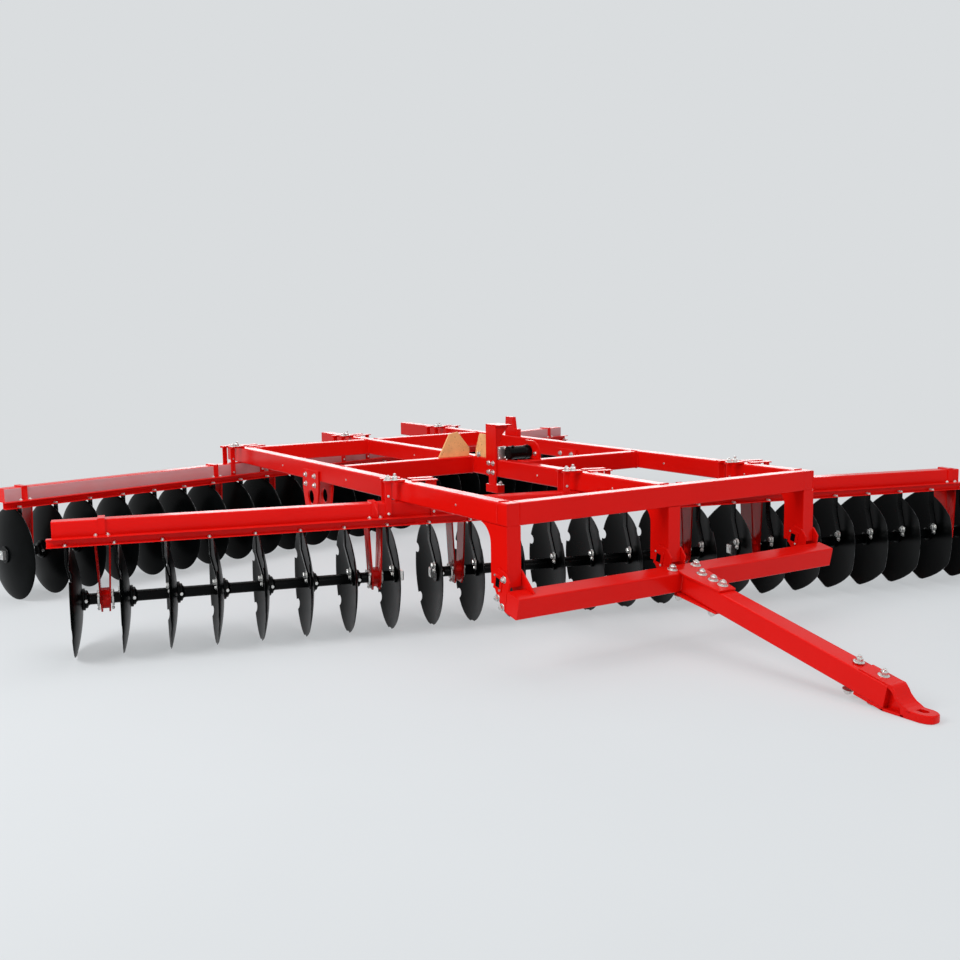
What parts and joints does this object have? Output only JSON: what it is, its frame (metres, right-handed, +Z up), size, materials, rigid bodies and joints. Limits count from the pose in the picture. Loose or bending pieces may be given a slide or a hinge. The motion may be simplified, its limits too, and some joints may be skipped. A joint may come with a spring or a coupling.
{
  "type": "disc harrow",
  "caption": "Trailed offset disc harrow: a square-tube frame over two slanted rows of disc gangs, notched in front and plain behind, with a hinged drawbar.",
  "frame": {"origin": "middle of the whole machine's footprint, at the level of the ground that the discs stand on", "axes": "+X the direction of travel, towards the drawbar; +Y the machine's left; +Z up"},
  "size_m": [7.186, 6.1482, 1.175],
  "materials": {
    "red_paint": "gloss",
    "black_paint": "gloss",
    "zinc_steel": "bright zinc plated",
    "bare_plate": "matt tan primer"
  },
  "bodies": {
    "frame": {"right_rail": "red_paint", "centre_rail": "red_paint", "left_rail": "red_paint", "front_beam": "red_paint", "mid_beam_right": "red_paint", "mid_beam_left": "red_paint", "rear_beam_right": "red_paint", "rear_beam_left": "red_paint", "post_right": "red_paint", "post_centre": "red_paint", "post_left": "red_paint", "front_gang_beam": "red_paint", "front_hangers": "red_paint", "front_scraper_bar": "red_paint", "front_scrapers": "red_paint", "front_clamps": "red_paint", "rear_gang_beam": "red_paint", "rear_hangers": "red_paint", "rear_scraper_bar": "red_paint", "rear_scrapers": "red_paint", "rear_clamps": "red_paint", "rocker_brackets": "red_paint", "mast": "red_paint", "corner_gussets": "bare_plate", "lift_cylinder": "black_paint", "cylinder_anchor": "red_paint", "rear_lug": "red_paint", "corner_bracket": "red_paint"},
    "hitch": {"hitch_beam": "red_paint", "hitch_cheeks": "red_paint", "pivot_pins": "zinc_steel", "drawbar": "red_paint", "root_plates": "red_paint", "tongue": "red_paint"},
    "front_right_gang": {"front_right_axle": "black_paint", "front_right_discs": "black_paint"},
    "front_centre_gang": {"front_centre_axle": "black_paint", "front_centre_discs": "black_paint"},
    "front_left_gang": {"front_left_axle": "black_paint", "front_left_discs": "black_paint"},
    "rear_right_gang": {"rear_right_axle": "black_paint", "rear_right_discs": "black_paint"},
    "rear_centre_gang": {"rear_centre_axle": "black_paint", "rear_centre_discs": "black_paint"},
    "rear_left_gang": {"rear_left_axle": "black_paint", "rear_left_discs": "black_paint"}
  },
  "joints": [
    {"name": "hitch_hinge", "type": "hinge", "parent": "frame", "child": "hitch", "pos_m": [1.72098, 0.12202, 0.495], "axis": [0, -1, 0], "range_deg": [0, 25]},
    {"name": "front_right_gang_turn", "type": "hinge", "parent": "frame", "child": "front_right_gang", "pos_m": [0.32241, -1.98211, 0.33], "axis": [0.2588, 0.9659, 0], "continuous": true},
    {"name": "front_centre_gang_turn", "type": "hinge", "parent": "frame", "child": "front_centre_gang", "pos_m": [0.87215, 0.06952, 0.33], "axis": [0.2588, 0.9659, 0], "continuous": true},
    {"name": "front_left_gang_turn", "type": "hinge", "parent": "frame", "child": "front_left_gang", "pos_m": [1.42188, 2.12114, 0.33], "axis": [0.2588, 0.9659, 0], "continuous": true},
    {"name": "rear_right_gang_turn", "type": "hinge", "parent": "frame", "child": "rear_right_gang", "pos_m": [-1.91986, -2.08333, 0.33], "axis": [-0.2588, 0.9659, 0], "continuous": true},
    {"name": "rear_centre_gang_turn", "type": "hinge", "parent": "frame", "child": "rear_centre_gang", "pos_m": [-2.4696, -0.03171, 0.33], "axis": [-0.2588, 0.9659, 0], "continuous": true},
    {"name": "rear_left_gang_turn", "type": "hinge", "parent": "frame", "child": "rear_left_gang", "pos_m": [-3.01933, 2.01992, 0.33], "axis": [-0.2588, 0.9659, 0], "continuous": true}
  ]
}
